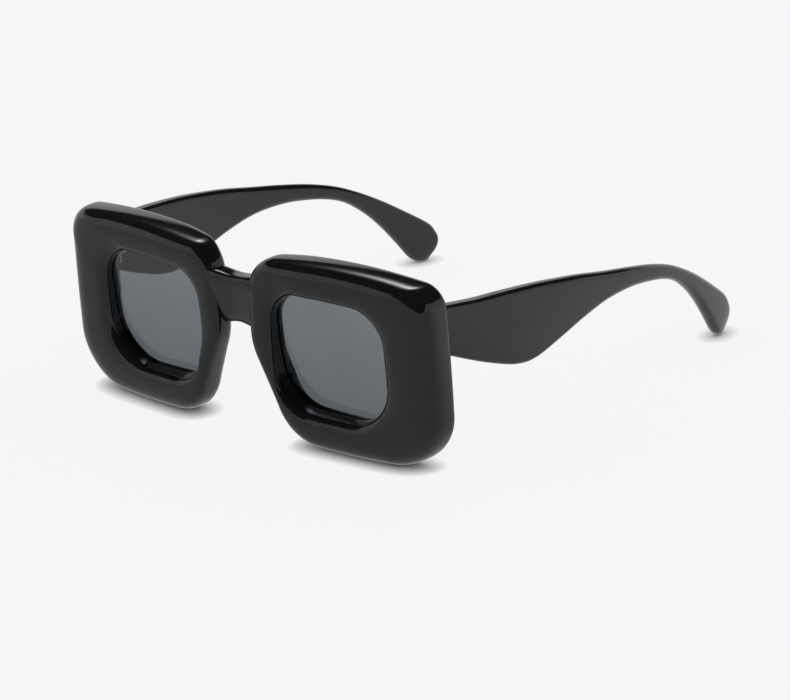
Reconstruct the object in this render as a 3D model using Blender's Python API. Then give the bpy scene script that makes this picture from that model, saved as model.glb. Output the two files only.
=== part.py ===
"""Square sunglasses with a puffed one-piece front, tinted lenses and two folding temples.

Blender 4.5, metres, +Z up. The pair stands open on a table at Z = 0, as in use: the front looks
along -Y, the temples run along +Y, and +X is the wearer's left. The origin lies on the table, under
the middle of the pair.
"""

from math import cos, pi, radians, sin, tan

import bmesh
import bpy
from mathutils import Matrix, Vector

# Front
bridge_gap = 0.0280
lens_opening_width = 0.0393
temporal_band = 0.0162
bottom_band = 0.0106
lens_opening_height = 0.0360
top_band = 0.0104
rim_depth = 0.0124
rim_depth_at_nose = 0.0092
wrap_angle = radians(5.0)
lean_angle = radians(3.3)
opening_nose_slant = 0.0008
opening_knee_slant = -0.0003
opening_nose_rise = 0.0010
opening_radii = (0.0135, 0.0100, 0.0095, 0.0900, 0.0120)
opening_bow = (0.0006, 0.0006)
bridge_span = 0.0130
nose_knee_x = 0.0058
nose_knee_height = 0.0297
nose_foot_x = 0.0187
nose_foot_rise = 0.0006
rim_radii = (0.0153, 0.0060, 0.0077, 0.0208, 0.0129)
rim_bow = (0.0006, 0.0024)
edge_roll = 0.0115
edge_fullness = 3.0
nose_setback = 0.0010
nose_edge_depth_top = 0.0065
nose_edge_depth_bottom = 0.0024
temple_edge_depth = 0.0089
lip_step = 0.0004
lip_fullness = 2.9
foot_flat = 0.0006

# Bridge between the rims
bridge_bottom_height = 0.0332
bridge_top_height = 0.0482
bridge_front_depth = 0.0019
bridge_back_depth = 0.0094
bridge_extra_lean = radians(10.7)
bridge_fullness = 4.5
bridge_flare = 0.0016
bridge_reach = 0.0091

# Lenses and the groove that holds them
lens_thickness = 0.0016
lens_overlap = 0.0009
lens_clearance = 0.0002
lens_depth_at_top = 0.0026
lens_extra_lean = radians(4.4)
lens_turn = radians(2.0)
rear_lip = 0.0012
rear_flare = 0.0060

# Temples
temple_length = 0.1413
temple_drop = 0.0084
temple_thickness = 0.0045
temple_inset = 0.0038
temple_splay = radians(6.2)
temple_straight_length = 0.0120
temple_bow = 0.0234
temple_edge_radius = 0.0012
joint_gap = 0.0003

# Hinges
hinge_seat_cut = 0.0011
hinge_seat_margin = 0.0007
knuckle_radius = 0.0015
knuckle_height = 0.0029
knuckle_gap = 0.0002
pin_radius = 0.00065
pin_clearance = 0.00008
pin_head_radius = 0.0013
pin_head_height = 0.0007
leaf_thickness = 0.0009
leaf_height = 0.0086
front_leaf_width = 0.0044
temple_leaf_length = 0.0105
screw_radius = 0.0005
screw_clearance = 0.0001
screw_head_radius = 0.0010
screw_head_height = 0.0005
screw_length = 0.0022
screw_spacing = 0.0046
slot_width = 0.0004
slot_depth = 0.0003
cut_overrun = 0.0010

# Shares of the width of a rim's band, and of what its rolled back edge leaves of it
roll_share = 0.62
nose_back_roll_share = 0.8
flare_share = 0.9

# Shares of a screw's or a pin's own sizes
tip_share = 0.65
taper_share = 0.85
crown_share = 0.7

# Where a temple's edges have become fully round, as a share of its length, and how round they get
round_edge_share = 0.62
roundest_share = 0.98

# Edges that turn more than this stay sharp
sharp_angle = radians(40)

# How finely the curves are divided
corner_steps = 8
side_steps = 5
roll_steps = 6
lip_steps = 6
bridge_steps = 5
temple_steps = 2
section_corner_steps = 3
round_sides = 16

# Worked out from the sizes above
half_width = bridge_gap / 2 + lens_opening_width + temporal_band
front_height = bottom_band + lens_opening_height + top_band
opening_bottom = bottom_band
opening_top = bottom_band + lens_opening_height
temple_top = front_height - temple_drop
temple_half = temple_thickness / 2
temple_start_x = half_width - temple_inset
hinge_x = temple_start_x - temple_half - knuckle_gap - knuckle_radius
seat_depth = rim_depth - hinge_seat_cut
front_reach = (front_height - edge_roll) * tan(lean_angle) - bridge_gap / 2 * tan(wrap_angle)
temple_root_rise = half_width * tan(wrap_angle) - temple_top * tan(lean_angle)
front_y = (front_reach - seat_depth - temple_root_rise - temple_length) / 2

# Side view of a temple: shares of its length behind the front and of its height above the table,
# first along the top edge, then along the bottom edge, then the share of its full thickness.
temple_shares = (
    (0.000, 1.001, 0.000, 0.706, 1.00),
    (0.090, 0.974, 0.076, 0.611, 1.00),
    (0.161, 0.962, 0.146, 0.535, 1.00),
    (0.225, 0.947, 0.200, 0.491, 1.00),
    (0.276, 0.932, 0.250, 0.488, 1.00),
    (0.332, 0.910, 0.324, 0.544, 1.00),
    (0.403, 0.878, 0.397, 0.603, 1.00),
    (0.487, 0.829, 0.479, 0.649, 0.98),
    (0.572, 0.782, 0.564, 0.656, 0.96),
    (0.657, 0.727, 0.635, 0.634, 0.94),
    (0.729, 0.663, 0.703, 0.592, 0.92),
    (0.792, 0.582, 0.755, 0.532, 0.92),
    (0.855, 0.483, 0.807, 0.427, 0.95),
    (0.920, 0.365, 0.852, 0.304, 0.98),
    (0.974, 0.260, 0.892, 0.170, 1.00),
    (0.992, 0.199, 0.923, 0.057, 0.97),
    (1.000, 0.146, 0.939, 0.016, 0.88),
    (0.995, 0.091, 0.953, -0.000, 0.72),
    (0.980, 0.042, 0.967, -0.003, 0.45),
)

def clear_scene():
    for old in list(bpy.data.objects):
        bpy.data.objects.remove(old, do_unlink=True)


def material(name, colour, roughness, metallic=0.0, alpha=1.0):
    made = bpy.data.materials.new(name)
    made.use_nodes = True
    shader = made.node_tree.nodes["Principled BSDF"]
    shader.inputs["Base Color"].default_value = (*colour, 1.0)
    shader.inputs["Roughness"].default_value = roughness
    shader.inputs["Metallic"].default_value = metallic
    shader.inputs["Alpha"].default_value = alpha
    return made


def new_object(name, points, faces, side=1, finish=None):
    """A mesh object whose points are given for the wearer's left; side -1 mirrors it to the right."""
    work = bmesh.new()
    corners = [work.verts.new((side * x, y, z)) for x, y, z in points]
    for face in faces:
        work.faces.new([corners[index] for index in face])
    bmesh.ops.recalc_face_normals(work, faces=work.faces)
    mesh = bpy.data.meshes.new(name)
    work.to_mesh(mesh)
    work.free()
    made = bpy.data.objects.new(name, mesh)
    bpy.context.collection.objects.link(made)
    if finish:
        mesh.materials.append(finish)
    mesh.shade_smooth()
    mesh.set_sharp_from_angle(angle=sharp_angle)
    return made


def lofted(name, rows, side=1, finish=None, ring=False):
    """Joins rows of equally many points; a ring closes on itself, anything else gets flat ends."""
    count = len(rows[0])
    points = [point for row in rows for point in row]
    faces = []
    for row in range(len(rows) if ring else len(rows) - 1):
        here, there = row * count, (row + 1) % len(rows) * count
        for step in range(count):
            after = (step + 1) % count
            faces.append((here + step, here + after, there + after, there + step))
    if not ring:
        faces.append(tuple(range(count)))
        faces.append(tuple((len(rows) - 1) * count + step for step in range(count)))
    return new_object(name, points, faces, side, finish)


def as_cutter(shape):
    shape.hide_render = True
    shape.display_type = "WIRE"
    return shape


def combine(target, other, operation):
    """Adds or cuts with a helper solid, which stays hidden beside the piece."""
    as_cutter(other)
    step = target.modifiers.new(operation.lower(), "BOOLEAN")
    step.operation = operation
    step.solver = "EXACT"
    step.object = other


def on_front(x, depth, z):
    """A place on the front, by its distance behind the crest of the leant and wrapped face."""
    return Vector((x, front_y + depth + x * tan(wrap_angle) - z * tan(lean_angle), z))


def on_temple(along, out, z):
    """A place on a temple, by its distance behind the front and outwards from the middle."""
    bent = max(along - temple_straight_length, 0) / (temple_length - temple_straight_length)
    x = temple_start_x + along * tan(temple_splay) - temple_bow * bent**2 + out
    return Vector((x, temple_root_y() + along, z))


def temple_root_y():
    return front_y + seat_depth + joint_gap + temple_root_rise


def smooth_step(share):
    share = min(max(share, 0), 1)
    return share * share * (3 - 2 * share)


def rounded_outline(corners, radii, bow):
    """An outline with round corners and bowed sides, as (x, z) points.

    The corners run bottom temple side, top temple side, top nose side, knee, bottom nose side.
    """
    corners = [Vector(corner) for corner in corners]
    count = len(corners)
    reaches, centres = [], []
    for index, corner in enumerate(corners):
        before = (corners[index - 1] - corner).normalized()
        after = (corners[(index + 1) % count] - corner).normalized()
        half = before.angle(after) / 2
        reaches.append(radii[index] / tan(half))
        centres.append(corner + (before + after).normalized() * (radii[index] / sin(half)))
    points = []
    for index, corner in enumerate(corners):
        following = corners[(index + 1) % count]
        before = (corners[index - 1] - corner).normalized()
        after = (following - corner).normalized()
        start = corner + before * reaches[index] - centres[index]
        turn = pi - before.angle(after)
        for step in range(corner_steps + 1):
            points.append(centres[index] + Matrix.Rotation(turn * step / corner_steps, 2) @ start)
        side_start = corner + after * reaches[index]
        side_end = following - after * reaches[(index + 1) % count]
        for step in range(1, side_steps):
            points.append(side_start.lerp(side_end, step / side_steps))
    across = [point.x for point in corners]
    up = [point.y for point in corners]
    middle_x, middle_z = (min(across) + max(across)) / 2, (min(up) + max(up)) / 2
    bowed = []
    for point in points:
        share_x = (point.x - middle_x) / (max(across) - middle_x)
        share_z = (point.y - middle_z) / (max(up) - middle_z)
        bowed.append(point - Vector((bow[0] * share_x * share_z**2, bow[1] * share_z * share_x**2)))
    return bowed


def outward(outline, index):
    """The outline's unit normal at one of its points, away from its middle."""
    along = outline[(index + 1) % len(outline)] - outline[index - 1]
    return Vector((along.y, -along.x)).normalized()


def opening_outline():
    near, far = bridge_gap / 2, bridge_gap / 2 + lens_opening_width
    corners = (
        (far, opening_bottom),
        (far, opening_top),
        (near, opening_top),
        (near + opening_knee_slant, nose_knee_height),
        (near + opening_nose_slant, opening_bottom + opening_nose_rise),
    )
    return rounded_outline(corners, opening_radii, opening_bow)


def rim_outline():
    corners = (
        (half_width, -foot_flat),
        (half_width, front_height),
        (bridge_span / 2, front_height),
        (nose_knee_x, nose_knee_height),
        (nose_foot_x, nose_foot_rise - foot_flat),
    )
    return rounded_outline(corners, rim_radii, rim_bow)


def lens_front_depth(x, z):
    """The lens sits deeper towards its bottom and towards the nose."""
    turned = (half_width - temporal_band - x) * tan(lens_turn)
    return lens_depth_at_top + turned + (opening_top - z) * tan(lens_extra_lean)


def temple_share(x):
    """0 beside the nose, 1 from the middle of a lens to the temple."""
    return smooth_step((x - bridge_gap / 4) / (lens_opening_width / 2))


def lowering(z):
    """0 at the top of the lens opening, 1 at its bottom."""
    return min(max((opening_top - z) / lens_opening_height, 0), 1)


def back_depth(x, z):
    """The rim is thinner beside the nose than at its temple side, but covers the lens."""
    at_nose = max(rim_depth_at_nose, lens_front_depth(x, z) + lens_thickness + 2 * rear_lip)
    return at_nose + (rim_depth - at_nose) * temple_share(x)


def widest_depth(x, z):
    """How far behind the crest the rim is widest: well forward at the foot of its nose side."""
    at_nose = nose_edge_depth_top + (nose_edge_depth_bottom - nose_edge_depth_top) * lowering(z)
    return at_nose + (temple_edge_depth - at_nose) * temple_share(x)


def full_curve(turn, fullness):
    """A point on a squared-off quarter circle: the shares across and along, from (1, 0) to (0, 1)."""
    return cos(turn) ** (2 / fullness), sin(turn) ** (2 / fullness)


def rim_section(inner, out, rim):
    """One closed section through a rim, from the front lip over the puffed face to the lens groove."""
    band = (rim - inner).length
    middle_x = (inner.x + rim.x) / 2
    roll = min(edge_roll, band * roll_share)
    back_roll = band * nose_back_roll_share
    back_roll += (roll - back_roll) * temple_share(middle_x)
    flare = min(rear_flare, (band - back_roll) * flare_share)
    lens_front = lens_front_depth(inner.x, inner.y)
    lip_depth = lens_front - lip_step
    crest_depth = nose_setback * (1 - temple_share(middle_x))
    back, widest = back_depth(middle_x, inner.y), widest_depth(middle_x, inner.y)
    crest, back_crest = rim.lerp(inner, roll / band), rim.lerp(inner, back_roll / band)
    section = []
    for step in range(lip_steps):
        across, along = full_curve(pi / 2 * step / lip_steps, lip_fullness)
        section.append((crest.lerp(inner, across), crest_depth + (lip_depth - crest_depth) * (1 - along)))
    for step in range(roll_steps):
        across, along = full_curve(pi / 2 * (1 - step / roll_steps), edge_fullness)
        section.append((crest.lerp(rim, across), crest_depth + (widest - crest_depth) * (1 - along)))
    for step in range(roll_steps + 1):
        across, along = full_curve(pi / 2 * step / roll_steps, edge_fullness)
        section.append((back_crest.lerp(rim, across), widest + (back - widest) * along))
    lens_back = lens_front + lens_thickness
    lip_back = lens_back + rear_lip
    groove = inner + out * (lens_overlap + lens_clearance)
    section.append((inner.lerp(rim, flare / band), back))
    section.append((inner, lip_back))
    section.append((inner, lens_back))
    section.append((groove, lens_back))
    section.append((groove, lens_front))
    section.append((inner, lens_front))
    return [on_front(place.x, depth, max(place.y, 0)) for place, depth in section]


def rim(name, side, finish=None):
    inner, outer = opening_outline(), rim_outline()
    rows = []
    for index in range(len(inner)):
        rows.append(rim_section(inner[index], outward(inner, index), outer[index]))
    return lofted(name, rows, side, finish, ring=True)


def bridge():
    """A leaning bar between the rims, which swells up, down and forwards where it meets them."""
    rows = []
    for step in range(-bridge_steps, bridge_steps + 1):
        x = bridge_reach * step / bridge_steps
        swell = bridge_flare * smooth_step(abs(step) / bridge_steps)
        bottom, top = bridge_bottom_height - swell, bridge_top_height + swell / 2
        row = []
        for corner in range(2 * round_sides):
            turn = 2 * pi * (corner + 0.5) / (2 * round_sides)
            deep, up = full_curve(abs(turn % pi - pi / 2), bridge_fullness)[::-1]
            deep, up = (deep if cos(turn) > 0 else -deep), (up if turn < pi else -up)
            z = bottom + (top - bottom) * (1 + up) / 2
            front = bridge_front_depth + (bridge_top_height - z) * tan(bridge_extra_lean) - swell / 4
            depth = front + (bridge_back_depth - front) * (1 + deep) / 2
            row.append(on_front(0, depth, z) + Vector((x, 0, 0)))
        rows.append(row)
    return lofted("bridge_bar", rows)


def side_name(side):
    return "left" if side > 0 else "right"


def block(name, low, high, place, side):
    """A six-sided block between two corners, whose points go through a placing function."""
    points = [
        place(x, y, z) for x in (low[0], high[0]) for y in (low[1], high[1]) for z in (low[2], high[2])
    ]
    faces = ((0, 1, 3, 2), (4, 6, 7, 5), (0, 4, 5, 1), (2, 3, 7, 6), (0, 2, 6, 4), (1, 5, 7, 3))
    return new_object(name, points, faces, side)


def turned(name, profile, place, side, finish=None):
    """A turned piece from (radius, height) pairs; place takes the two cross coordinates and the height."""
    rows = []
    for radius, height in profile:
        row = []
        for corner in range(round_sides):
            turn = 2 * pi * corner / round_sides
            row.append(place(radius * cos(turn), radius * sin(turn), height))
        rows.append(row)
    return lofted(name, rows, side, finish)


def hinge_middle_height():
    top_share, bottom_share = temple_shares[0][1], temple_shares[0][3]
    return temple_top * (top_share + bottom_share) / 2


def hinge_axis_y():
    """Far enough behind the seat for the front leaf to lie against the knuckles."""
    middle = on_front(hinge_x, seat_depth, hinge_middle_height()).y
    return middle + joint_gap + knuckle_radius


def around_hinge(x, y, z):
    return Vector((hinge_x + x, hinge_axis_y() + y, z))


def knuckle_levels():
    """The bottom and top of each of the three knuckles, the temple's own in the middle."""
    pitch = knuckle_height + knuckle_gap
    start = hinge_middle_height() - knuckle_height / 2 - pitch
    return [(start + pitch * index, start + pitch * index + knuckle_height) for index in range(3)]


def knuckle(name, levels, side, radius):
    low, high = levels
    return turned(name, ((radius, low), (radius, high)), around_hinge, side)


def pin_bore(side):
    low, high = knuckle_levels()[0][0] - cut_overrun, knuckle_levels()[2][1] + cut_overrun
    return knuckle("pin_bore_" + side_name(side), (low, high), side, pin_radius + pin_clearance)


def front_leaf_screws():
    """Where the front leaf's two screws stand, across and above the table."""
    x = hinge_x - knuckle_radius - (front_leaf_width - knuckle_radius) / 2
    middle = hinge_middle_height()
    return {"upper": (x, middle + screw_spacing / 2), "lower": (x, middle - screw_spacing / 2)}


def temple_leaf_screws():
    """Where the temple leaf's two screws stand, along the temple."""
    last = hinge_axis_y() - temple_root_y() + temple_leaf_length - 2 * screw_head_radius
    return {"front": last - screw_spacing, "rear": last}


def on_front_leaf(x, z):
    """Places a screw on the front leaf: across it, up it, and out of its rear face."""
    face = seat_depth + joint_gap + leaf_thickness
    return lambda across, up, height: on_front(x + across, face + height, z + up)


def on_temple_leaf(along):
    """Places a screw on a temple leaf: back along it, up it, and out of its inner face."""
    face = -temple_half - joint_gap - leaf_thickness
    middle = hinge_middle_height()
    return lambda back, up, height: on_temple(along + back, face - height, middle + up)


def front_screw_hole(name, x, z, side):
    """A hole for a screw, from behind the front leaf into the front."""
    return turned(name, hole_profile(), on_front_leaf(x, z), side)


def temple_screw_hole(name, along, side):
    """A hole for a screw, from the temple leaf's inner face into the temple."""
    return turned(name, hole_profile(), on_temple_leaf(along), side)


def screw_profile():
    """From the tip of the shank to the crown of the low domed head; height 0 is the leaf's face."""
    seat = screw_clearance
    return (
        (screw_radius * tip_share, seat - screw_length),
        (screw_radius, seat - screw_length * taper_share),
        (screw_radius, seat),
        (screw_head_radius, seat),
        (screw_head_radius, seat + screw_head_height / 2),
        (screw_head_radius * crown_share, seat + screw_head_height),
    )


def hole_profile():
    radius = screw_radius + screw_clearance
    return ((radius, -screw_length - screw_clearance), (radius, cut_overrun))


def cut_slot(screw, name, place, crown, side):
    """Cuts a driver slot across a screw head, whose crown stands at that height over its face."""
    reach = pin_head_radius + cut_overrun
    low = (-reach, -slot_width / 2, crown - slot_depth)
    high = (reach, slot_width / 2, crown + cut_overrun)
    combine(screw, block(name, low, high, place, side), "DIFFERENCE")


def front_frame(finish):
    front = rim("front_frame", 1, finish)
    combine(front, rim("rim_right", -1), "UNION")
    combine(front, bridge(), "UNION")
    middle = hinge_middle_height()
    half = temple_top - middle + hinge_seat_margin
    for side in (1, -1):
        low = (hinge_x - front_leaf_width - hinge_seat_margin, seat_depth, middle - half)
        high = (half_width + cut_overrun, rim_depth + cut_overrun, middle + half)
        combine(front, block("hinge_seat_" + side_name(side), low, high, on_front, side), "DIFFERENCE")
        for level, (x, z) in front_leaf_screws().items():
            name = f"front_screw_hole_{level}_{side_name(side)}"
            combine(front, front_screw_hole(name, x, z, side), "DIFFERENCE")
    return front


def lens(side, finish):
    inner = opening_outline()
    rows = [[], []]
    for index, point in enumerate(inner):
        edge = point + outward(inner, index) * lens_overlap
        front = lens_front_depth(edge.x, edge.y) + lens_clearance
        rows[0].append(on_front(edge.x, front, edge.y))
        rows[1].append(on_front(edge.x, front + lens_thickness - 2 * lens_clearance, edge.y))
    return lofted("lens_" + side_name(side), rows, side, finish)


def spline(values, place):
    """A smooth value at a fractional place among evenly spaced ones."""
    index = min(int(place), len(values) - 2)
    share = place - index
    before, here = values[max(index - 1, 0)], values[index]
    there, after = values[index + 1], values[min(index + 2, len(values) - 1)]
    bend = 2 * before - 5 * here + 4 * there - after
    twist = 3 * (here - there) + after - before
    return here + share / 2 * (there - before + share * (bend + share * twist))


def temple_section(place):
    """One closed section across a temple, at a fractional row of the table of shares."""
    shares = [spline(column, place) for column in zip(*temple_shares)]
    top = Vector((shares[0] * temple_length, shares[1] * temple_top))
    bottom = Vector((shares[2] * temple_length, shares[3] * temple_top))
    half = temple_half * shares[4]
    middle, up = (top + bottom) / 2, (top - bottom) / 2
    roundness = smooth_step(middle.x / temple_length / round_edge_share)
    radius = temple_edge_radius + (half - temple_edge_radius) * roundness
    radius = min(radius, half * roundest_share, up.length * roundest_share)
    section = []
    for quarter, (sign_out, sign_up) in enumerate(((1, 1), (-1, 1), (-1, -1), (1, -1))):
        for step in range(section_corner_steps + 1):
            turn = pi / 2 * (quarter + step / section_corner_steps)
            out = sign_out * (half - radius) + radius * cos(turn)
            rise = sign_up * (1 - radius / up.length) + radius / up.length * sin(turn)
            place_2d = middle + up * rise
            section.append(on_temple(place_2d.x, out, max(place_2d.y, 0)))
    return section


def temple(side, finish):
    last = (len(temple_shares) - 1) * temple_steps
    rows = [temple_section(step / temple_steps) for step in range(last + 1)]
    for point in rows[0]:
        point.y = on_front(point.x, seat_depth + joint_gap, point.z).y
    made = lofted("temple_" + side_name(side), rows, side, finish)
    for level, along in temple_leaf_screws().items():
        name = f"temple_screw_hole_{level}_{side_name(side)}"
        combine(made, temple_screw_hole(name, along, side), "DIFFERENCE")
    return made


def front_hinge_leaf(side, finish):
    middle = hinge_middle_height()
    low = (hinge_x - front_leaf_width, seat_depth + joint_gap, middle - leaf_height / 2)
    high = (hinge_x, seat_depth + joint_gap + leaf_thickness, middle + leaf_height / 2)
    leaf = block("front_hinge_leaf_" + side_name(side), low, high, on_front, side)
    leaf.data.materials.append(finish)
    levels = knuckle_levels()
    for index in (0, 2):
        helper = knuckle(f"front_knuckle_{index}_{side_name(side)}", levels[index], side, knuckle_radius)
        combine(leaf, helper, "UNION")
    gap_low = (-knuckle_radius - knuckle_gap, -knuckle_radius - leaf_thickness, levels[0][1])
    gap_high = (knuckle_radius, knuckle_radius + cut_overrun, levels[2][0])
    clearance = block("front_leaf_notch_" + side_name(side), gap_low, gap_high, around_hinge, side)
    combine(leaf, clearance, "DIFFERENCE")
    combine(leaf, pin_bore(side), "DIFFERENCE")
    for level, (x, z) in front_leaf_screws().items():
        name = f"front_leaf_hole_{level}_{side_name(side)}"
        combine(leaf, front_screw_hole(name, x, z, side), "DIFFERENCE")
    return leaf


def temple_hinge_leaf(side, finish):
    middle = hinge_middle_height()
    axis = hinge_axis_y() - temple_root_y()
    start = axis + knuckle_radius + 2 * knuckle_gap
    inner = -temple_half - joint_gap - leaf_thickness
    low = (start, inner, middle - leaf_height / 2)
    high = (axis + temple_leaf_length, inner + leaf_thickness, middle + leaf_height / 2)
    leaf = block("temple_hinge_leaf_" + side_name(side), low, high, on_temple, side)
    leaf.data.materials.append(finish)
    level = knuckle_levels()[1]
    inset = knuckle_gap / 2
    tongue_low = (axis, inner + inset, level[0] + inset)
    tongue_high = (start + leaf_thickness, inner + leaf_thickness - inset, level[1] - inset)
    tongue = block("temple_tongue_" + side_name(side), tongue_low, tongue_high, on_temple, side)
    combine(leaf, tongue, "UNION")
    helper = knuckle("temple_knuckle_" + side_name(side), level, side, knuckle_radius)
    combine(leaf, helper, "UNION")
    combine(leaf, pin_bore(side), "DIFFERENCE")
    for end, along in temple_leaf_screws().items():
        name = f"temple_leaf_hole_{end}_{side_name(side)}"
        combine(leaf, temple_screw_hole(name, along, side), "DIFFERENCE")
    return leaf


def pin(side, finish):
    """The hinge screw, whose slotted head stands on the top knuckle."""
    levels = knuckle_levels()
    low, high = levels[0][0], levels[2][1] + knuckle_gap
    profile = (
        (pin_radius * tip_share, low),
        (pin_radius, low + knuckle_gap),
        (pin_radius, high),
        (pin_head_radius, high),
        (pin_head_radius, high + pin_head_height / 2),
        (pin_head_radius * crown_share, high + pin_head_height),
    )
    made = turned("hinge_pivot_screw_" + side_name(side), profile, around_hinge, side, finish)
    crown = high + pin_head_height
    cut_slot(made, "pivot_screw_slot_" + side_name(side), around_hinge, crown, side)
    return made


def front_leaf_screw(side, level, finish):
    place = on_front_leaf(*front_leaf_screws()[level])
    made = turned(f"front_leaf_screw_{level}_{side_name(side)}", screw_profile(), place, side, finish)
    crown = screw_clearance + screw_head_height
    cut_slot(made, f"front_screw_slot_{level}_{side_name(side)}", place, crown, side)
    return made


def temple_leaf_screw(side, end, finish):
    place = on_temple_leaf(temple_leaf_screws()[end])
    made = turned(f"temple_leaf_screw_{end}_{side_name(side)}", screw_profile(), place, side, finish)
    crown = screw_clearance + screw_head_height
    cut_slot(made, f"temple_screw_slot_{end}_{side_name(side)}", place, crown, side)
    return made


def origin_on_hinge(piece, side):
    """Puts the origin of a piece that folds on its hinge axis, without moving the piece."""
    middle = Vector((side * hinge_x, hinge_axis_y(), hinge_middle_height()))
    piece.data.transform(Matrix.Translation(-middle))
    piece.location = middle


def main():
    clear_scene()
    gloss_black = material("black_gloss_plastic", (0.012, 0.012, 0.013), 0.08)
    tint = material("smoke_lens", (0.055, 0.060, 0.066), 0.03, alpha=0.82)
    steel = material("hinge_steel", (0.56, 0.56, 0.57), 0.28, metallic=1.0)
    front_frame(gloss_black)
    for side in (1, -1):
        lens(side, tint)
        front_hinge_leaf(side, steel)
        pin(side, steel)
        for level in front_leaf_screws():
            front_leaf_screw(side, level, steel)
        folding = [temple(side, gloss_black), temple_hinge_leaf(side, steel)]
        for end in temple_leaf_screws():
            folding.append(temple_leaf_screw(side, end, steel))
        for piece in folding:
            origin_on_hinge(piece, side)


main()
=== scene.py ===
"""Square sunglasses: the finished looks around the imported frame.

Metres, +Z up. The puffed front, the lenses and the temples are built here again with many more
faces than their CAD solids have, from the same sizes. The steel hinges are the CAD nodes themselves.
"""

from math import cos, pi, radians, sin, tan

import bmesh
import bpy
from mathutils import Matrix, Vector


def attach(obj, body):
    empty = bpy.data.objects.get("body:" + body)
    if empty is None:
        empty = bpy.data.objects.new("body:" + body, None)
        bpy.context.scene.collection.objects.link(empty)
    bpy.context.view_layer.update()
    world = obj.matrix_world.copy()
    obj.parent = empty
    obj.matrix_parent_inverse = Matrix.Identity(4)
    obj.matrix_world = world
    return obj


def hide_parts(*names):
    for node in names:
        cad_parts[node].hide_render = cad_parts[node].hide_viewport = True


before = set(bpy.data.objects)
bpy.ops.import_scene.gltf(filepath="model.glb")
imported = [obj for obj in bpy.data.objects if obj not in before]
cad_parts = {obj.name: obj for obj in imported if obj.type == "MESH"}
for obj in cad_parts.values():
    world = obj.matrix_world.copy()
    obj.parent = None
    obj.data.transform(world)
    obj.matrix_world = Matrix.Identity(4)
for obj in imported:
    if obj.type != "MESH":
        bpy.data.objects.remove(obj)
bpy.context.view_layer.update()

# Front
bridge_gap = 0.0280
lens_opening_width = 0.0393
temporal_band = 0.0162
bottom_band = 0.0106
lens_opening_height = 0.0360
top_band = 0.0104
rim_depth = 0.0124
rim_depth_at_nose = 0.0092
wrap_angle = radians(5.0)
lean_angle = radians(3.3)
opening_nose_slant = 0.0008
opening_knee_slant = -0.0003
opening_nose_rise = 0.0010
opening_radii = (0.0135, 0.0100, 0.0095, 0.0900, 0.0120)
opening_bow = (0.0006, 0.0006)
bridge_span = 0.0130
nose_knee_x = 0.0058
nose_knee_height = 0.0297
nose_foot_x = 0.0187
nose_foot_rise = 0.0006
rim_radii = (0.0153, 0.0060, 0.0077, 0.0208, 0.0129)
rim_bow = (0.0006, 0.0024)
edge_roll = 0.0115
edge_fullness = 3.0
nose_setback = 0.0010
nose_edge_depth_top = 0.0065
nose_edge_depth_bottom = 0.0024
temple_edge_depth = 0.0089
lip_step = 0.0004
lip_fullness = 2.9
foot_flat = 0.0006
roll_share = 0.62
nose_back_roll_share = 0.8
flare_share = 0.9

# Bridge between the rims
bridge_bottom_height = 0.0332
bridge_top_height = 0.0482
bridge_front_depth = 0.0019
bridge_back_depth = 0.0094
bridge_extra_lean = radians(10.7)
bridge_fullness = 4.5
bridge_flare = 0.0016
bridge_reach = 0.0091

# Lenses and the groove that holds them
lens_thickness = 0.0016
lens_overlap = 0.0009
lens_clearance = 0.0002
lens_depth_at_top = 0.0026
lens_extra_lean = radians(4.4)
lens_turn = radians(2.0)
rear_lip = 0.0012
rear_flare = 0.0060

# Temples
temple_length = 0.1413
temple_drop = 0.0084
temple_thickness = 0.0045
temple_inset = 0.0038
temple_splay = radians(6.2)
temple_straight_length = 0.0120
temple_bow = 0.0234
temple_edge_radius = 0.0012
joint_gap = 0.0003
round_edge_share = 0.62
roundest_share = 0.98

# The recess behind each temple end of the front, for the hinge
hinge_seat_cut = 0.0011
hinge_seat_margin = 0.0007
knuckle_radius = 0.0015
knuckle_gap = 0.0002
front_leaf_width = 0.0044
cut_overrun = 0.0010

# How finely the curves are divided
corner_steps = 16
side_steps = 24
roll_steps = 16
lip_steps = 10
bridge_steps = 24
bridge_sides = 96
temple_steps = 6
section_corner_steps = 8
sharp_angle = radians(42)

# Finishes: linear colours, noise scales per metre, and relief in metres
clear_plastic_ior = 1.5
noise_range = (0.3, 0.7)
plastic_tones = ((0.0030, 0.0031, 0.0034), (0.0050, 0.0051, 0.0055))
plastic_tone_scale = 220
plastic_haze = (0.020, 0.040)
plastic_haze_scale = 900
plastic_wave_depth = 0.00003
plastic_wave_scale = 70
lens_tones = ((0.163, 0.182, 0.200), (0.174, 0.194, 0.213))
lens_tone_scale = 60
steel_tones = ((0.46, 0.46, 0.47), (0.62, 0.62, 0.63))
steel_tone_scale = 700
steel_tone_stretch = (1, 1, 6)
steel_polish = (0.20, 0.36)
steel_polish_scale = 2400
steel_line_depth = 0.00001
steel_line_scale = 3000
steel_line_stretch = (1, 1, 8)

# Floor
background_white = 0.925
floor_reach = 12.0
floor_white = 0.93
# Share of the floor, as the camera and lenses see it, that is the background's white with a painted
# contact shadow; the rest is the floor's real lit shade
floor_glow_share = 0.95
# How far the painted contact shadow reaches, and how many samples it takes
painted_shadow_reach = 0.005
painted_shadow_samples = 8
# Painted reflection: the floor's glow as only glossy rays see it, dimmer in front of the pair than beside
# it
mirrored_floor_in_front = 0.54
mirrored_floor_beside = 0.84
mirrored_floor_turns = (-0.07, 0.02)

# What the gloss shows: a dark ceiling that also hangs down in front, and a small soft glow
ceiling = (((0.0, 0.14, 0.99), radians(62)), ((0.35, -0.75, 0.56), radians(45)))
ceiling_edge = 0.04
ceiling_level = 0.05
glow_middle = (-0.43, 0.455, 0.78)
glow_level = 11.0
glow_tightness = 100.0

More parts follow.
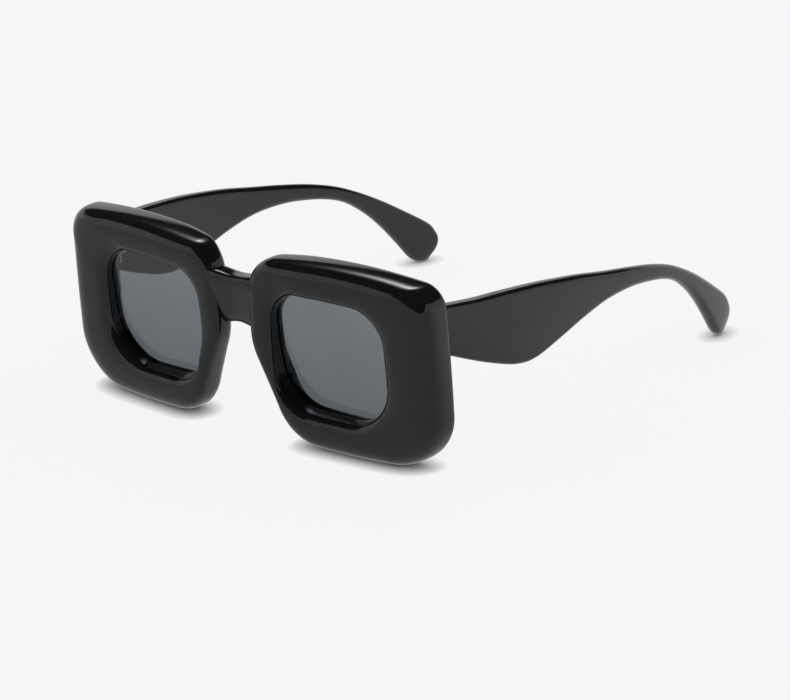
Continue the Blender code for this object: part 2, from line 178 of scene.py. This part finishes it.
# Camera, in the photograph's frame of 790 x 700
image_width = 790
focal_length_in_pixels = 4439.79
sensor_width = 36.0
camera_place = (0.82332552, -0.93791715, 0.44919112)
camera_right = (0.755680, 0.654221, -0.030697)
camera_up = (-0.198290, 0.273211, 0.941295)
camera_clip = (0.01, 100.0)

# Worked out from the sizes above
half_width = bridge_gap / 2 + lens_opening_width + temporal_band
front_height = bottom_band + lens_opening_height + top_band
opening_bottom = bottom_band
opening_top = bottom_band + lens_opening_height
temple_top = front_height - temple_drop
temple_half = temple_thickness / 2
temple_start_x = half_width - temple_inset
hinge_x = temple_start_x - temple_half - knuckle_gap - knuckle_radius
seat_depth = rim_depth - hinge_seat_cut
front_reach = (front_height - edge_roll) * tan(lean_angle) - bridge_gap / 2 * tan(wrap_angle)
temple_root_rise = half_width * tan(wrap_angle) - temple_top * tan(lean_angle)
front_y = (front_reach - seat_depth - temple_root_rise - temple_length) / 2

# Side view of a temple: shares of its length behind the front and of its height above the table,
# first along the top edge, then along the bottom edge, then the share of its full thickness.
temple_shares = (
    (0.000, 1.001, 0.000, 0.706, 1.00),
    (0.090, 0.974, 0.076, 0.611, 1.00),
    (0.161, 0.962, 0.146, 0.535, 1.00),
    (0.225, 0.947, 0.200, 0.491, 1.00),
    (0.276, 0.932, 0.250, 0.488, 1.00),
    (0.332, 0.910, 0.324, 0.544, 1.00),
    (0.403, 0.878, 0.397, 0.603, 1.00),
    (0.487, 0.829, 0.479, 0.649, 0.98),
    (0.572, 0.782, 0.564, 0.656, 0.96),
    (0.657, 0.727, 0.635, 0.634, 0.94),
    (0.729, 0.663, 0.703, 0.592, 0.92),
    (0.792, 0.582, 0.755, 0.532, 0.92),
    (0.855, 0.483, 0.807, 0.427, 0.95),
    (0.920, 0.365, 0.852, 0.304, 0.98),
    (0.974, 0.260, 0.892, 0.170, 1.00),
    (0.992, 0.199, 0.923, 0.057, 0.97),
    (1.000, 0.146, 0.939, 0.016, 0.88),
    (0.995, 0.091, 0.953, -0.000, 0.72),
    (0.980, 0.042, 0.967, -0.003, 0.45),
)


def new_object(name, points, faces, side=1):
    """A mesh object whose points are given for the wearer's left; side -1 mirrors it to the right."""
    work = bmesh.new()
    corners = [work.verts.new((side * x, y, z)) for x, y, z in points]
    for face in faces:
        work.faces.new([corners[index] for index in face])
    bmesh.ops.recalc_face_normals(work, faces=work.faces)
    mesh = bpy.data.meshes.new(name)
    work.to_mesh(mesh)
    work.free()
    made = bpy.data.objects.new(name, mesh)
    bpy.context.collection.objects.link(made)
    smooth(mesh)
    return made


def smooth(mesh):
    mesh.shade_smooth()
    mesh.set_sharp_from_angle(angle=sharp_angle)


def lofted(name, rows, side=1, ring=False):
    """Joins rows of equally many points; a ring closes on itself, anything else gets flat ends."""
    count = len(rows[0])
    points = [point for row in rows for point in row]
    faces = []
    for row in range(len(rows) if ring else len(rows) - 1):
        here, there = row * count, (row + 1) % len(rows) * count
        for step in range(count):
            after = (step + 1) % count
            faces.append((here + step, here + after, there + after, there + step))
    if not ring:
        faces.append(tuple(range(count)))
        faces.append(tuple((len(rows) - 1) * count + step for step in range(count)))
    return new_object(name, points, faces, side)


def combined(target, steps):
    """Adds and cuts with helper solids, then keeps only the result."""
    for other, operation in steps:
        step = target.modifiers.new(operation.lower(), "BOOLEAN")
        step.operation = operation
        step.solver = "EXACT"
        step.object = other
    bpy.context.view_layer.update()
    done = target.evaluated_get(bpy.context.evaluated_depsgraph_get())
    mesh = bpy.data.meshes.new_from_object(done)
    target.modifiers.clear()
    target.data = mesh
    for other, _ in steps:
        bpy.data.objects.remove(other, do_unlink=True)
    smooth(mesh)
    return target


def on_front(x, depth, z):
    """A place on the front, by its distance behind the crest of the leant and wrapped face."""
    return Vector((x, front_y + depth + x * tan(wrap_angle) - z * tan(lean_angle), z))


def temple_root_y():
    return front_y + seat_depth + joint_gap + temple_root_rise


def on_temple(along, out, z):
    """A place on a temple, by its distance behind the front and outwards from the middle."""
    bent = max(along - temple_straight_length, 0) / (temple_length - temple_straight_length)
    x = temple_start_x + along * tan(temple_splay) - temple_bow * bent**2 + out
    return Vector((x, temple_root_y() + along, z))


def smooth_step(share):
    share = min(max(share, 0), 1)
    return share * share * (3 - 2 * share)


def rounded_outline(corners, radii, bow):
    """An outline with round corners and bowed sides, as (x, z) points.

    The corners run bottom temple side, top temple side, top nose side, knee, bottom nose side.
    """
    corners = [Vector(corner) for corner in corners]
    count = len(corners)
    reaches, centres = [], []
    for index, corner in enumerate(corners):
        before = (corners[index - 1] - corner).normalized()
        after = (corners[(index + 1) % count] - corner).normalized()
        half = before.angle(after) / 2
        reaches.append(radii[index] / tan(half))
        centres.append(corner + (before + after).normalized() * (radii[index] / sin(half)))
    points = []
    for index, corner in enumerate(corners):
        following = corners[(index + 1) % count]
        before = (corners[index - 1] - corner).normalized()
        after = (following - corner).normalized()
        start = corner + before * reaches[index] - centres[index]
        turn = pi - before.angle(after)
        for step in range(corner_steps + 1):
            points.append(centres[index] + Matrix.Rotation(turn * step / corner_steps, 2) @ start)
        side_start = corner + after * reaches[index]
        side_end = following - after * reaches[(index + 1) % count]
        for step in range(1, side_steps):
            points.append(side_start.lerp(side_end, step / side_steps))
    across = [point.x for point in corners]
    up = [point.y for point in corners]
    middle_x, middle_z = (min(across) + max(across)) / 2, (min(up) + max(up)) / 2
    bowed = []
    for point in points:
        share_x = (point.x - middle_x) / (max(across) - middle_x)
        share_z = (point.y - middle_z) / (max(up) - middle_z)
        bowed.append(point - Vector((bow[0] * share_x * share_z**2, bow[1] * share_z * share_x**2)))
    return bowed


def outward(outline, index):
    """The outline's unit normal at one of its points, away from its middle."""
    along = outline[(index + 1) % len(outline)] - outline[index - 1]
    return Vector((along.y, -along.x)).normalized()


def opening_outline():
    near, far = bridge_gap / 2, bridge_gap / 2 + lens_opening_width
    corners = (
        (far, opening_bottom),
        (far, opening_top),
        (near, opening_top),
        (near + opening_knee_slant, nose_knee_height),
        (near + opening_nose_slant, opening_bottom + opening_nose_rise),
    )
    return rounded_outline(corners, opening_radii, opening_bow)


def rim_outline():
    corners = (
        (half_width, -foot_flat),
        (half_width, front_height),
        (bridge_span / 2, front_height),
        (nose_knee_x, nose_knee_height),
        (nose_foot_x, nose_foot_rise - foot_flat),
    )
    return rounded_outline(corners, rim_radii, rim_bow)


def lens_front_depth(x, z):
    """The lens sits deeper towards its bottom and towards the nose."""
    turned = (half_width - temporal_band - x) * tan(lens_turn)
    return lens_depth_at_top + turned + (opening_top - z) * tan(lens_extra_lean)


def temple_share(x):
    """0 beside the nose, 1 from the middle of a lens to the temple."""
    return smooth_step((x - bridge_gap / 4) / (lens_opening_width / 2))


def lowering(z):
    """0 at the top of the lens opening, 1 at its bottom."""
    return min(max((opening_top - z) / lens_opening_height, 0), 1)


def back_depth(x, z):
    """The rim is thinner beside the nose than at its temple side, but covers the lens."""
    at_nose = max(rim_depth_at_nose, lens_front_depth(x, z) + lens_thickness + 2 * rear_lip)
    return at_nose + (rim_depth - at_nose) * temple_share(x)


def widest_depth(x, z):
    """How far behind the crest the rim is widest: well forward at the foot of its nose side."""
    at_nose = nose_edge_depth_top + (nose_edge_depth_bottom - nose_edge_depth_top) * lowering(z)
    return at_nose + (temple_edge_depth - at_nose) * temple_share(x)


def full_curve(turn, fullness):
    """A point on a squared-off quarter circle: the shares across and along, from (1, 0) to (0, 1)."""
    return cos(turn) ** (2 / fullness), sin(turn) ** (2 / fullness)


def rim_section(inner, out, rim):
    """One closed section through a rim, from the front lip over the puffed face to the lens groove."""
    band = (rim - inner).length
    middle_x = (inner.x + rim.x) / 2
    roll = min(edge_roll, band * roll_share)
    back_roll = band * nose_back_roll_share
    back_roll += (roll - back_roll) * temple_share(middle_x)
    flare = min(rear_flare, (band - back_roll) * flare_share)
    lens_front = lens_front_depth(inner.x, inner.y)
    lip_depth = lens_front - lip_step
    crest_depth = nose_setback * (1 - temple_share(middle_x))
    back, widest = back_depth(middle_x, inner.y), widest_depth(middle_x, inner.y)
    crest, back_crest = rim.lerp(inner, roll / band), rim.lerp(inner, back_roll / band)
    section = []
    for step in range(lip_steps):
        across, along = full_curve(pi / 2 * step / lip_steps, lip_fullness)
        section.append((crest.lerp(inner, across), crest_depth + (lip_depth - crest_depth) * (1 - along)))
    for step in range(roll_steps):
        across, along = full_curve(pi / 2 * (1 - step / roll_steps), edge_fullness)
        section.append((crest.lerp(rim, across), crest_depth + (widest - crest_depth) * (1 - along)))
    for step in range(roll_steps + 1):
        across, along = full_curve(pi / 2 * step / roll_steps, edge_fullness)
        section.append((back_crest.lerp(rim, across), widest + (back - widest) * along))
    lens_back = lens_front + lens_thickness
    lip_back = lens_back + rear_lip
    groove = inner + out * (lens_overlap + lens_clearance)
    section.append((inner.lerp(rim, flare / band), back))
    section.append((inner, lip_back))
    section.append((inner, lens_back))
    section.append((groove, lens_back))
    section.append((groove, lens_front))
    section.append((inner, lens_front))
    return [on_front(place.x, depth, max(place.y, 0)) for place, depth in section]


def rim(name, side):
    inner, outer = opening_outline(), rim_outline()
    rows = []
    for index in range(len(inner)):
        rows.append(rim_section(inner[index], outward(inner, index), outer[index]))
    return lofted(name, rows, side, ring=True)


def bridge():
    """A leaning bar between the rims, which swells up, down and forwards where it meets them."""
    rows = []
    for step in range(-bridge_steps, bridge_steps + 1):
        x = bridge_reach * step / bridge_steps
        swell = bridge_flare * smooth_step(abs(step) / bridge_steps)
        bottom, top = bridge_bottom_height - swell, bridge_top_height + swell / 2
        row = []
        for corner in range(bridge_sides):
            turn = 2 * pi * (corner + 0.5) / bridge_sides
            deep, up = full_curve(abs(turn % pi - pi / 2), bridge_fullness)[::-1]
            deep, up = (deep if cos(turn) > 0 else -deep), (up if turn < pi else -up)
            z = bottom + (top - bottom) * (1 + up) / 2
            front = bridge_front_depth + (bridge_top_height - z) * tan(bridge_extra_lean) - swell / 4
            depth = front + (bridge_back_depth - front) * (1 + deep) / 2
            row.append(on_front(0, depth, z) + Vector((x, 0, 0)))
        rows.append(row)
    return lofted("bridge_bar", rows)


def block(name, low, high, place, side):
    """A six-sided block between two corners, whose points go through a placing function."""
    points = [
        place(x, y, z) for x in (low[0], high[0]) for y in (low[1], high[1]) for z in (low[2], high[2])
    ]
    faces = ((0, 1, 3, 2), (4, 6, 7, 5), (0, 4, 5, 1), (2, 3, 7, 6), (0, 2, 6, 4), (1, 5, 7, 3))
    return new_object(name, points, faces, side)


def hinge_seat(side):
    """The recess in the back of the front, where the temple and the front leaf stand."""
    middle = temple_top * (temple_shares[0][1] + temple_shares[0][3]) / 2
    half = temple_top - middle + hinge_seat_margin
    low = (hinge_x - front_leaf_width - hinge_seat_margin, seat_depth, middle - half)
    high = (half_width + cut_overrun, rim_depth + cut_overrun, middle + half)
    return block("hinge_seat", low, high, on_front, side)


def front_moulding():
    made = rim("front_moulding", 1)
    steps = [(rim("rim_right", -1), "UNION"), (bridge(), "UNION")]
    steps += [(hinge_seat(side), "DIFFERENCE") for side in (1, -1)]
    return combined(made, steps)


def lens_pane(side, name):
    inner = opening_outline()
    rows = [[], []]
    for index, point in enumerate(inner):
        edge = point + outward(inner, index) * lens_overlap
        front = lens_front_depth(edge.x, edge.y) + lens_clearance
        rows[0].append(on_front(edge.x, front, edge.y))
        rows[1].append(on_front(edge.x, front + lens_thickness - 2 * lens_clearance, edge.y))
    return lofted(name, rows, side)


def spline(values, place):
    """A smooth value at a fractional place among evenly spaced ones."""
    index = min(int(place), len(values) - 2)
    share = place - index
    before, here = values[max(index - 1, 0)], values[index]
    there, after = values[index + 1], values[min(index + 2, len(values) - 1)]
    bend = 2 * before - 5 * here + 4 * there - after
    twist = 3 * (here - there) + after - before
    return here + share / 2 * (there - before + share * (bend + share * twist))


def temple_section(place):
    """One closed section across a temple, at a fractional row of the table of shares."""
    shares = [spline(column, place) for column in zip(*temple_shares)]
    top = Vector((shares[0] * temple_length, shares[1] * temple_top))
    bottom = Vector((shares[2] * temple_length, shares[3] * temple_top))
    half = temple_half * shares[4]
    middle, up = (top + bottom) / 2, (top - bottom) / 2
    roundness = smooth_step(middle.x / temple_length / round_edge_share)
    radius = temple_edge_radius + (half - temple_edge_radius) * roundness
    radius = min(radius, half * roundest_share, up.length * roundest_share)
    section = []
    for quarter, (sign_out, sign_up) in enumerate(((1, 1), (-1, 1), (-1, -1), (1, -1))):
        for step in range(section_corner_steps + 1):
            turn = pi / 2 * (quarter + step / section_corner_steps)
            out = sign_out * (half - radius) + radius * cos(turn)
            rise = sign_up * (1 - radius / up.length) + radius / up.length * sin(turn)
            place_2d = middle + up * rise
            section.append(on_temple(place_2d.x, out, max(place_2d.y, 0)))
    return section


def temple_arm(side, name):
    last = (len(temple_shares) - 1) * temple_steps
    rows = [temple_section(step / temple_steps) for step in range(last + 1)]
    for point in rows[0]:
        point.y = on_front(point.x, seat_depth + joint_gap, point.z).y
    return lofted(name, rows, side)


def new_material(name):
    made = bpy.data.materials.new(name)
    made.use_nodes = True
    return made, made.node_tree, made.node_tree.nodes["Principled BSDF"]


def noise(tree, scale, detail=3.0, stretch=(1, 1, 1)):
    """Smooth noise over the object's own metres; a scale of 100 has features about 10 mm wide."""
    coordinate = tree.nodes.new("ShaderNodeTexCoord")
    mapping = tree.nodes.new("ShaderNodeMapping")
    mapping.inputs["Scale"].default_value = stretch
    made = tree.nodes.new("ShaderNodeTexNoise")
    made.inputs["Scale"].default_value = scale
    made.inputs["Detail"].default_value = detail
    tree.links.new(coordinate.outputs["Object"], mapping.inputs["Vector"])
    tree.links.new(mapping.outputs["Vector"], made.inputs["Vector"])
    return made.outputs["Fac"]


def spread(tree, value, low, high):
    """Maps noise, most of which lies in the noise range, onto a range."""
    made = tree.nodes.new("ShaderNodeMapRange")
    made.inputs["From Min"].default_value, made.inputs["From Max"].default_value = noise_range
    made.inputs["To Min"].default_value = low
    made.inputs["To Max"].default_value = high
    tree.links.new(value, made.inputs["Value"])
    return made.outputs["Result"]


def two_tones(tree, value, dark, light):
    ramp = tree.nodes.new("ShaderNodeValToRGB")
    for stop, place, colour in zip(ramp.color_ramp.elements, noise_range, (dark, light)):
        stop.position = place
        stop.color = (*colour, 1)
    tree.links.new(value, ramp.inputs["Fac"])
    return ramp.outputs["Color"]


def bumped(tree, shader, value, distance):
    bump = tree.nodes.new("ShaderNodeBump")
    bump.inputs["Distance"].default_value = distance
    bump.inputs["Strength"].default_value = 1.0
    tree.links.new(value, bump.inputs["Height"])
    tree.links.new(bump.outputs["Normal"], shader.inputs["Normal"])


def black_gloss():
    """Polished black moulding: deep black, with faint waviness and polishing haze."""
    made, tree, shader = new_material("polished_black_plastic")
    tone = two_tones(tree, noise(tree, plastic_tone_scale), *plastic_tones)
    tree.links.new(tone, shader.inputs["Base Color"])
    haze = spread(tree, noise(tree, plastic_haze_scale, 4), *plastic_haze)
    tree.links.new(haze, shader.inputs["Roughness"])
    shader.inputs["IOR"].default_value = clear_plastic_ior
    bumped(tree, shader, noise(tree, plastic_wave_scale, 1), plastic_wave_depth)
    return made


def smoke_tint():
    """Clear grey lens plastic that passes less than a fifth of the light."""
    made, tree, shader = new_material("smoke_grey_lens")
    tone = two_tones(tree, noise(tree, lens_tone_scale, 2), *lens_tones)
    tree.links.new(tone, shader.inputs["Base Color"])
    shader.inputs["Transmission Weight"].default_value = 1.0
    shader.inputs["Roughness"].default_value = 0.0
    shader.inputs["IOR"].default_value = clear_plastic_ior
    return made


def satin_steel():
    """Small stamped and turned hinge parts: fine drawn lines and a satin polish."""
    made, tree, shader = new_material("satin_hinge_steel")
    tone = two_tones(tree, noise(tree, steel_tone_scale, 3, steel_tone_stretch), *steel_tones)
    tree.links.new(tone, shader.inputs["Base Color"])
    drawn = spread(tree, noise(tree, steel_polish_scale, 2, steel_line_stretch), *steel_polish)
    tree.links.new(drawn, shader.inputs["Roughness"])
    shader.inputs["Metallic"].default_value = 1.0
    bumped(tree, shader, noise(tree, steel_line_scale, 2, steel_line_stretch), steel_line_depth)
    return made


def calculated(tree, operation, first, second):
    """A Math node; each of the two values is a number or a socket."""
    made = tree.nodes.new("ShaderNodeMath")
    made.operation = operation
    for socket, value in zip(made.inputs, (first, second)):
        if isinstance(value, (int, float)):
            socket.default_value = value
        else:
            tree.links.new(value, socket)
    return made.outputs[0]


def mixed(tree, share, first, second):
    made = tree.nodes.new("ShaderNodeMixShader")
    for socket, value in zip(made.inputs, (share, first, second)):
        tree.links.new(value, socket)
    return made.outputs[0]


def even_light(tree, kind, level):
    made = tree.nodes.new(kind)
    made.inputs["Color"].default_value = (level, level, level, 1)
    return made.outputs[0]


def ray_kind(tree, *kinds):
    """1 for rays of any of these kinds, and 0 for the others."""
    path = tree.nodes.new("ShaderNodeLightPath")
    total = path.outputs[kinds[0]]
    for kind in kinds[1:]:
        total = calculated(tree, "MAXIMUM", total, path.outputs[kind])
    return total


def painted_contact_shadow(tree):
    """The background's white with a painted shadow: darker only where something stands on the floor or
    close over it.
    """
    made = tree.nodes.new("ShaderNodeAmbientOcclusion")
    made.samples = painted_shadow_samples
    made.inputs["Color"].default_value = (background_white, background_white, background_white, 1)
    made.inputs["Distance"].default_value = painted_shadow_reach
    return made.outputs["Color"]


def mirrored_level(tree):
    """How bright the gloss shows the floor, as a painted reflection: a glow seen only by glossy rays,
    less in front of the pair than beside and behind it.
    """
    coordinate = tree.nodes.new("ShaderNodeTexCoord")
    parts = tree.nodes.new("ShaderNodeSeparateXYZ")
    level = tree.nodes.new("ShaderNodeMapRange")
    level.inputs["From Min"].default_value, level.inputs["From Max"].default_value = mirrored_floor_turns
    level.inputs["To Min"].default_value = mirrored_floor_in_front
    level.inputs["To Max"].default_value = mirrored_floor_beside
    tree.links.new(coordinate.outputs["Object"], parts.inputs[0])
    tree.links.new(parts.outputs["Y"], level.inputs["Value"])
    return level.outputs["Result"]


def floor():
    """A pale floor: the camera and the lenses see mostly the background's white, darkened near the pair
    by a painted contact shadow, and a little of the floor's real lit shadow.
    """
    signs = ((-1, -1), (1, -1), (1, 1), (-1, 1))
    points = [(floor_reach * x, floor_reach * y, 0) for x, y in signs]
    made = new_object("studio_floor", points, [(0, 1, 2, 3)])
    finish = bpy.data.materials.new("pale_floor")
    finish.use_nodes = True
    tree = finish.node_tree
    tree.nodes.clear()
    plain = even_light(tree, "ShaderNodeBsdfDiffuse", floor_white)
    # The background's white, darkened near the pair by a painted contact shadow
    shown = tree.nodes.new("ShaderNodeEmission")
    tree.links.new(painted_contact_shadow(tree), shown.inputs["Color"])
    # Painted reflection of the floor, seen only by glossy rays
    mirrored = tree.nodes.new("ShaderNodeEmission")
    tree.links.new(mirrored_level(tree), mirrored.inputs["Strength"])
    seen = ray_kind(tree, "Is Camera Ray", "Is Transmission Ray")
    surface = mixed(tree, calculated(tree, "MULTIPLY", seen, floor_glow_share), plain, shown.outputs[0])
    surface = mixed(tree, ray_kind(tree, "Is Glossy Ray"), surface, mirrored.outputs[0])
    output = tree.nodes.new("ShaderNodeOutputMaterial")
    tree.links.new(surface, output.inputs["Surface"])
    made.data.materials.append(finish)


def closeness(tree, direction):
    """The cosine of the angle between where a ray goes and one direction."""
    coordinate = tree.nodes.new("ShaderNodeTexCoord")
    made = tree.nodes.new("ShaderNodeVectorMath")
    made.operation = "DOT_PRODUCT"
    tree.links.new(coordinate.outputs["Generated"], made.inputs[0])
    made.inputs[1].default_value = Vector(direction).normalized()
    return made.outputs["Value"]


def studio():
    """An even pale room, whose gloss shows a dark ceiling and a soft glow."""
    scene = bpy.context.scene
    scene.view_settings.view_transform = "Standard"
    world = bpy.data.worlds.new("studio")
    scene.world = world
    world.use_nodes = True
    tree = world.node_tree
    tree.nodes.clear()
    edge = tree.nodes.new("ShaderNodeMapRange")
    edge.interpolation_type = "SMOOTHSTEP"
    edge.inputs["From Min"].default_value = -ceiling_edge
    edge.inputs["From Max"].default_value = ceiling_edge
    edge.inputs["To Min"].default_value = background_white
    edge.inputs["To Max"].default_value = ceiling_level
    inside = [calculated(tree, "SUBTRACT", closeness(tree, way), cos(spread)) for way, spread in ceiling]
    tree.links.new(calculated(tree, "MAXIMUM", *inside), edge.inputs["Value"])
    nearness = calculated(tree, "MAXIMUM", closeness(tree, glow_middle), 0.0)
    glow = calculated(tree, "POWER", nearness, glow_tightness)
    glow = calculated(tree, "MULTIPLY", glow, glow_level)
    mirrored = tree.nodes.new("ShaderNodeBackground")
    level = calculated(tree, "ADD", edge.outputs["Result"], glow)
    tree.links.new(level, mirrored.inputs["Strength"])
    plain = even_light(tree, "ShaderNodeBackground", 1.0)
    shown = even_light(tree, "ShaderNodeBackground", background_white)
    room = mixed(tree, ray_kind(tree, "Is Camera Ray", "Is Transmission Ray"), plain, shown)
    room = mixed(tree, ray_kind(tree, "Is Glossy Ray"), room, mirrored.outputs[0])
    output = tree.nodes.new("ShaderNodeOutputWorld")
    tree.links.new(room, output.inputs["Surface"])


def camera():
    right = Vector(camera_right).normalized()
    up = Vector(camera_up).normalized()
    back = right.cross(up).normalized()
    up = back.cross(right)
    data = bpy.data.cameras.new("photo_camera")
    data.sensor_width = sensor_width
    data.lens = focal_length_in_pixels * sensor_width / image_width
    data.clip_start, data.clip_end = camera_clip
    made = bpy.data.objects.new("photo_camera", data)
    turn = Matrix((right, up, back)).transposed().to_4x4()
    made.matrix_world = Matrix.Translation(camera_place) @ turn
    bpy.context.collection.objects.link(made)
    bpy.context.scene.camera = made


camera()
studio()
floor()
gloss, tint, steel = black_gloss(), smoke_tint(), satin_steel()

moulding = front_moulding()
moulding.data.materials.clear()
moulding.data.materials.append(gloss)
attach(moulding, "front")
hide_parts("front_frame")
for side, word in ((1, "left"), (-1, "right")):
    pane = lens_pane(side, "lens_pane_" + word)
    pane.data.materials.append(tint)
    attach(pane, "front")
    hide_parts("lens_" + word)
    arm = temple_arm(side, "temple_arm_" + word)
    arm.data.materials.append(gloss)
    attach(arm, f"temple_{word}_body")
    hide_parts("temple_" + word)
for name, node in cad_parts.items():
    if not node.hide_render:
        for slot in node.material_slots:
            slot.material = steel
